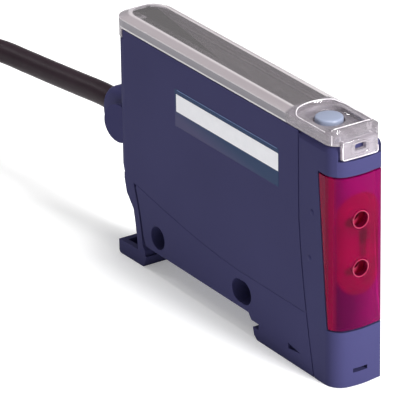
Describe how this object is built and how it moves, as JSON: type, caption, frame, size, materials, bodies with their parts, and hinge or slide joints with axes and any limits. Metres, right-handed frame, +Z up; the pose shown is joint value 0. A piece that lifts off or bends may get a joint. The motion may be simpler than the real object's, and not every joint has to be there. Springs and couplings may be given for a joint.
{
  "type": "fibre optic amplifier",
  "caption": "Slim upright rail-mounted sensor amplifier with a red fibre face, a hinged clear lid over a push button, and a cable from its rear.",
  "frame": {"origin": "under the middle of the housing with its cover and strain relief, on the plane it stands on", "axes": "+X from the cable end to the fibre face, +Y across the slim width, +Z up from the rail side to the lid"},
  "size_m": [0.2168, 0.0396, 0.0462],
  "materials": {
    "housing": "fine matt moulded blue-grey plastic",
    "red_window": "translucent glossy red",
    "guide": "red moulded plastic",
    "clear": "clear, slightly smoky, polished",
    "lens": "clear polished",
    "button": "satin blue-grey",
    "deck": "matt dark grey",
    "black_plastic": "matt black",
    "board": "green solder mask",
    "tinned_steel": "tinned sheet",
    "cable_jacket": "smooth dark cable jacket",
    "tie": "matt black",
    "core_brown": "smooth brown insulation",
    "core_white": "smooth white insulation",
    "core_blue": "smooth blue insulation",
    "core_black": "smooth black insulation"
  },
  "bodies": {
    "housing": {"base_strip": "housing", "cable_hank": "cable_jacket", "cable_tail": "cable_jacket", "cable_tube": "cable_jacket", "circuit_board": "board", "core_black": "core_black", "core_blue": "core_blue", "core_brown": "core_brown", "core_white": "core_white", "deck_panel": "deck", "emitter_led": "lens", "fibre_guide": "guide", "fibre_window": "red_window", "hank_tie": "tie", "inner_lead": "cable_jacket", "main_case": "housing", "nose_block": "housing", "optics_block": "black_plastic", "output_driver": "black_plastic", "output_indicator": "lens", "receiver_photodiode": "black_plastic", "receiver_shield": "tinned_steel", "signal_chip": "black_plastic", "smoothing_capacitor": "black_plastic", "stability_indicator": "lens", "strain_relief": "housing", "tact_switch": "black_plastic"},
    "cover": {"clear_cover": "clear"},
    "button": {"teach_button": "button"}
  },
  "joints": [
    {"name": "cover_hinge", "type": "hinge", "parent": "housing", "child": "cover", "pos_m": [-0.03005, 0, 0.0422], "axis": [0, -1, 0], "range_deg": [0, 105]},
    {"name": "button_press", "type": "slide", "parent": "housing", "child": "button", "axis": [0, 0, -1], "range_m": [0, 0.0005], "stiffness_N_per_m": 400, "springref_m": -0.001}
  ]
}
